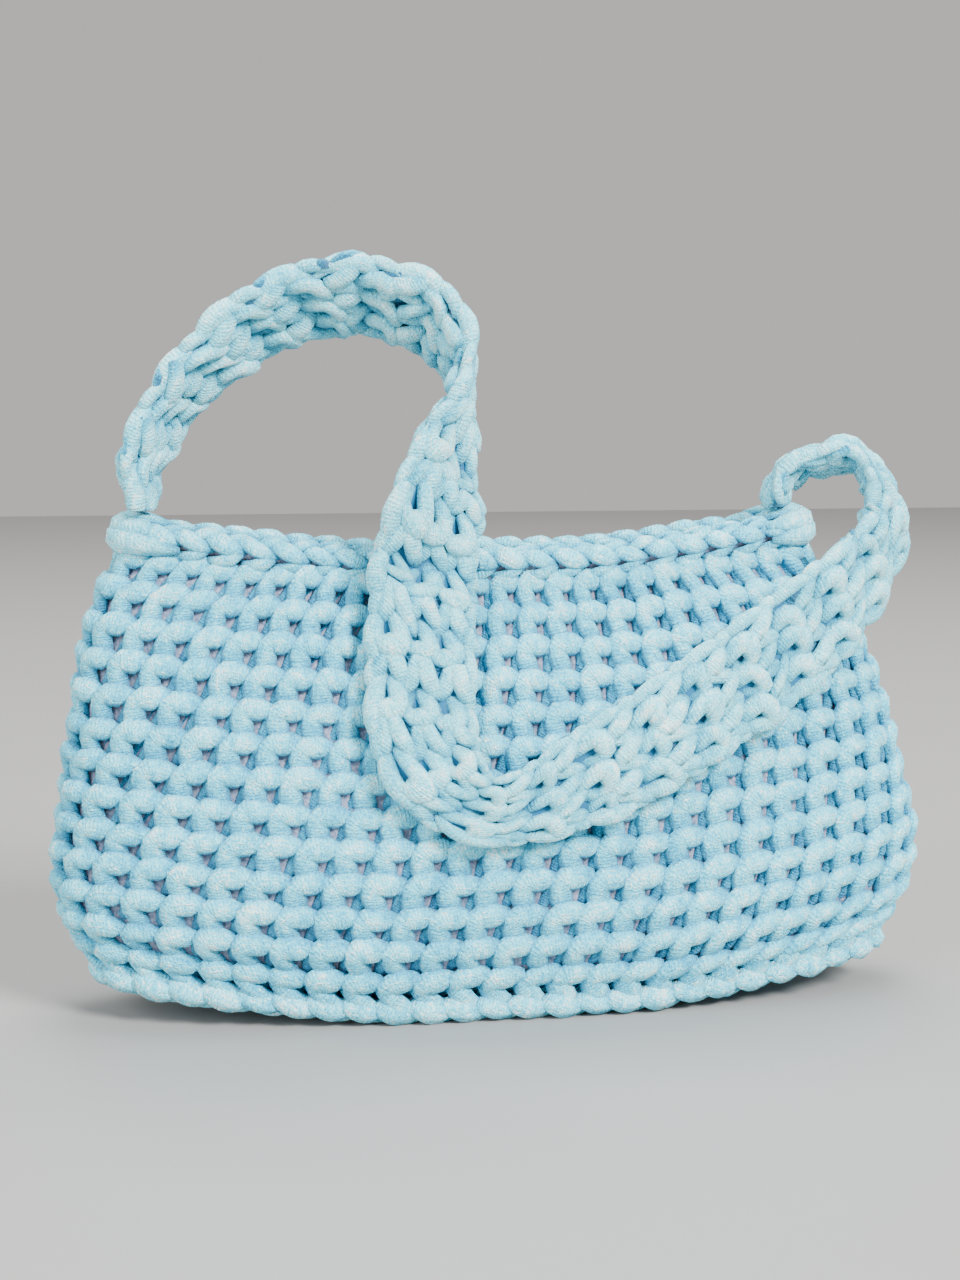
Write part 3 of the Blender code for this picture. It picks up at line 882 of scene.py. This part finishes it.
strap_stitches = joined("strap_rows", [
    strap_part(strap_crook, 1, 0), strap_part(strap_vee, 1, 1),
    strap_part(strap_crook, -1, 1), strap_part(strap_vee, -1, 0),
])
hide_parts("strap_band")
strap_front = joined("strap_loops_front", [edge_part(strap_leaf, 1, 0, LEAF_SHARE),
                                           edge_part(strap_link, 1, 1, BAND_SHARE)])
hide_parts("strap_edge_front")
strap_rear = joined("strap_loops_rear", [edge_part(strap_slim_leaf, -1, 1, BAND_SHARE),
                                         edge_part(strap_link, -1, 0, BAND_SHARE)])
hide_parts("strap_edge_rear")
strap_core = bent_grid(
    "strap_core", 6, 160,
    lambda u, v: STRAP.place(v, (u * 2 - 1) * BAND_SHARE, np.full_like(u, STRAP_CORE_OUT)),
    CORE_THICK)
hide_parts("strap_band")

# %% [markdown]
# Both ends of the strap are sewn to the rim with wide turns of yarn that lie along it.

# %% The strap's feet
FOOT_PITCH = 10.0
FOOT_REACH = 50
foot_wrap = strand((
    (-1.90, 0.10, 5.0, 2.2, 2.0),
    (-1.20, 0.04, 6.4, 5.0, 3.4),
    (-0.30, 0.00, 6.9, 6.4, 4.2),
    (0.70, 0.00, 6.8, 6.0, 4.0),
    (1.50, 0.06, 6.0, 4.2, 3.2),
    (2.00, 0.12, 5.0, 2.2, 2.0),
), rings=14, pitch=FOOT_PITCH, row=FOOT_REACH * ARC)
FOOT_TURNS = np.array((0.0, 1.05, 2.1))
FOOT_STARTS = np.array((0.1, -0.1, 0.15))
FOOT_LOW = 4.5
FOOT_SPAN = 4


def foot(name, middle, node):
    u, v, n = copies(foot_wrap[1], FOOT_STARTS, FOOT_TURNS)
    around = middle + u * FOOT_PITCH * MM / RIM.length
    place = RIM.place(around, v * FOOT_REACH, n)
    # The rise sets the wraps' painted shade and highlight.
    piece = joined(name, [(foot_wrap, place, (n - FOOT_LOW) / FOOT_SPAN)])
    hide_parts(node)
    return piece


foot_right = foot("strap_foot_wraps_right", 0.0, "strap_foot_right")
foot_left = foot("strap_foot_wraps_left", 0.5, "strap_foot_left")

# %% [markdown]
# Jersey is a fine knit. Cut into a strip and pulled, it curls into a tube whose fine ribs cross
# it. Its colour is painted darker in the hollows as shade and paler on the crests as highlight.
# The stitches carry three attributes, their place along and round the yarn, their height in the
# cloth, which sets that painted shade and highlight, and a number of their own, and the finish is
# worked out from those.

# %% Shader maths
class Shade:
    """A socket that takes part in Python expressions."""

    tree = None

    def __init__(self, socket):
        self.socket = socket

    @classmethod
    def node(cls, kind, settings=None, output=0, **inputs):
        """Any node, from its type, its settings and the values or links of its sockets."""
        node = cls.tree.nodes.new(kind)
        for key, value in (settings or {}).items():
            if key == "stops":
                ramp = node.color_ramp
                while len(ramp.elements) < len(value):
                    ramp.elements.new(0.5)
                for element, (at, colour) in zip(ramp.elements, value):
                    element.position = at
                    element.color = colour
            else:
                setattr(node, key, value)
        for key, value in inputs.items():
            name = key.replace("_", " ")
            socket = node.inputs[int(name[1:])] if name[1:].isdigit() else node.inputs[name]
            if isinstance(value, cls):
                cls.tree.links.new(value.socket, socket)
            else:
                socket.default_value = value
        return cls(node.outputs[output])

    def maths(self, operation, other=None, swap=False):
        a, b = (other, self) if swap else (self, other)
        inputs = {"i0": a} if b is None else {"i0": a, "i1": b}
        return Shade.node("ShaderNodeMath", {"operation": operation}, **inputs)

    def __add__(self, other):
        return self.maths("ADD", other)

    __radd__ = __add__

    def __mul__(self, other):
        return self.maths("MULTIPLY", other)

    __rmul__ = __mul__

    def __sub__(self, other):
        return self.maths("SUBTRACT", other)

    def __rsub__(self, other):
        return self.maths("SUBTRACT", other, swap=True)

    def clamp(self, low=0.0, high=1.0):
        return Shade.node("ShaderNodeClamp", Value=self, Min=low, Max=high)


# %% [markdown]
# The yarn's colour runs from deep cyan in the hollows, painted shade, to near white on the
# crests, a painted highlight. Ribs, long creases painted bright as highlights and a fine fuzz
# break it up, and the same three make its bumps.

# %% The yarn's finish
RIB = 1.0
CREASE = 6.5
# The ramp's dark stops are painted shade for the hollows, and its palest stops are painted
# highlight for the crests.
STOPS = (0.0, 0.20, 0.46, 0.76, 1.0)
BAG_COLOURS = ((0.0, 0.09, 0.22, 1), (0.0, 0.24, 0.44, 1), (0.02, 0.46, 0.70, 1),
               (0.17, 0.80, 0.96, 1), (0.80, 1.0, 1.0, 1))
STRAP_COLOURS = ((0.0, 0.13, 0.27, 1), (0.0, 0.34, 0.54, 1), (0.08, 0.58, 0.77, 1),
                 (0.32, 0.90, 0.98, 1), (0.92, 1.0, 1.0, 1))


def yarn_material(name, colours):
    """Jersey yarn; the colours run from the painted shade of the deepest hollow to the painted
    highlight of the palest crest.
    """
    material = bpy.data.materials.new(name)
    material.use_nodes = True
    Shade.tree = material.node_tree
    shader = material.node_tree.nodes["Principled BSDF"]
    rise = Shade.node("ShaderNodeAttribute", {"attribute_name": "rise"}, output=2)
    tint = Shade.node("ShaderNodeAttribute", {"attribute_name": "tint"}, output=2)
    yarn = Shade.node("ShaderNodeAttribute", {"attribute_name": "yarn"}, output=1)
    along = Shade.node("ShaderNodeSeparateXYZ", Vector=yarn)
    across = Shade(along.socket.node.outputs[1])
    mottle = Shade.node("ShaderNodeTexNoise", Vector=yarn, Scale=0.35, Detail=4.0, Roughness=0.6)
    fuzz = Shade.node("ShaderNodeTexNoise", Vector=yarn, Scale=1.9, Detail=2.0, Roughness=0.8)
    patch = Shade.node("ShaderNodeTexNoise", Vector=yarn, Scale=0.55, Detail=1.0)
    # Creases: bright lines along the yarn, a painted highlight in the colour and a real fold in
    # the bump.
    wave = (across * CREASE + mottle * 16.0).maths("SINE")
    crease_and_highlight = (wave * 1.6 - 0.7).clamp() * (patch * 6.0 - 2.6).clamp()
    ribs = (along * (2 * math.pi / RIB) + mottle * 8.0).maths("SINE")
    # The rise paints shade in the hollows and highlight on the crests, and the creases add
    # painted highlight on them; mottle, fuzz, tint and ribs are the yarn's own uneven tone.
    shade = (rise * 0.68 + (mottle - 0.5) * 0.9 + (fuzz - 0.5) * 1.1 + (tint - 0.5) * 0.12
             + crease_and_highlight * rise * 0.32 + ribs * 0.035 + 0.02).clamp()
    colour = Shade.node("ShaderNodeValToRGB", {"stops": tuple(zip(STOPS, colours))}, Fac=shade)
    material.node_tree.links.new(colour.socket, shader.inputs["Base Color"])
    bump = Shade.node("ShaderNodeBump", Height=ribs * 0.22 + fuzz * 1.6 + crease_and_highlight * 0.9,
                      Strength=0.8, Distance=0.0007)
    material.node_tree.links.new(bump.socket, shader.inputs["Normal"])
    shader.inputs["Roughness"].default_value = 0.8
    shader.inputs["Sheen Weight"].default_value = 0.15
    shader.inputs["Sheen Roughness"].default_value = 0.5
    return material


def hollow_shade_material():
    """Painted shade: a dark greyish lilac for the cloth's unlit inside, seen through the holes.
    """
    material = bpy.data.materials.new("yarn_hollow_shade")
    material.use_nodes = True
    Shade.tree = material.node_tree
    shader = material.node_tree.nodes["Principled BSDF"]
    place = Shade.node("ShaderNodeTexCoord", output=3)
    fuzz = Shade.node("ShaderNodeTexNoise", Vector=place, Scale=900.0, Detail=2.0)
    colour = Shade.node("ShaderNodeValToRGB", {"stops": (
        (0.3, (0.10, 0.15, 0.24, 1)), (0.7, (0.34, 0.36, 0.46, 1)))}, Fac=fuzz)
    material.node_tree.links.new(colour.socket, shader.inputs["Base Color"])
    bump = Shade.node("ShaderNodeBump", Height=fuzz, Strength=0.5, Distance=0.0005)
    material.node_tree.links.new(bump.socket, shader.inputs["Normal"])
    shader.inputs["Roughness"].default_value = 0.9
    return material


bag_yarn = yarn_material("bag_yarn", BAG_COLOURS)
strap_yarn = yarn_material("strap_yarn", STRAP_COLOURS)
yarn_hollow_shade = hollow_shade_material()
for piece in (rounds_lower, rounds_upper, rounds_inside, base_stitches, rim_stitches,
              ridge_stitches):
    piece.data.materials.append(bag_yarn)
# The cores take the dark painted-shade colour of the cloth's unlit inside.
for piece in (wall_core, base_core, rim_core, ridge_core):
    piece.data.materials.append(yarn_hollow_shade)
for piece in (strap_stitches, strap_front, strap_rear, foot_left, foot_right):
    piece.data.materials.append(strap_yarn)
# The strap's core has none of the stitch attributes, so its colour falls to the ramp's darkest
# stop: painted shade behind the strap's stitches.
strap_core.data.materials.append(strap_yarn)

# %% [markdown]
# A plain pale floor and soft studio light: a key light high on the right, a weaker fill on the
# left, a wide one overhead and a pale room round it.

# %% Floor and light
def make_floor():
    bm = bmesh.new()
    bmesh.ops.create_grid(bm, x_segments=1, y_segments=1, size=3)
    mesh = bpy.data.meshes.new("floor")
    bm.to_mesh(mesh)
    bm.free()
    floor = bpy.data.objects.new("floor", mesh)
    bpy.context.collection.objects.link(floor)
    material = bpy.data.materials.new("pale_floor")
    material.use_nodes = True
    shader = material.node_tree.nodes["Principled BSDF"]
    shader.inputs["Base Color"].default_value = (0.30, 0.295, 0.29, 1)
    shader.inputs["Roughness"].default_value = 0.6
    mesh.materials.append(material)
    return floor


def make_light(name, place, aim, size, power):
    data = bpy.data.lights.new(name, "AREA")
    data.size = size
    data.energy = power
    light = bpy.data.objects.new(name, data)
    light.location = place
    way = Vector(place) - Vector(aim)
    light.rotation_euler = way.to_track_quat("Z", "Y").to_euler()
    bpy.context.collection.objects.link(light)
    return light


make_floor()
MIDDLE = (0, 0, 0.12)
make_light("key", (1.2, -2.2, 1.8), MIDDLE, 0.9, 230)
make_light("fill", (-2.0, -1.6, 1.4), MIDDLE, 1.8, 90)
make_light("top", (0.2, 0.6, 2.6), MIDDLE, 1.6, 90)
world = bpy.data.worlds.new("room")
world.use_nodes = True
world.node_tree.nodes["Background"].inputs["Color"].default_value = (0.94, 0.92, 0.90, 1)
world.node_tree.nodes["Background"].inputs["Strength"].default_value = 0.6
bpy.context.scene.world = world
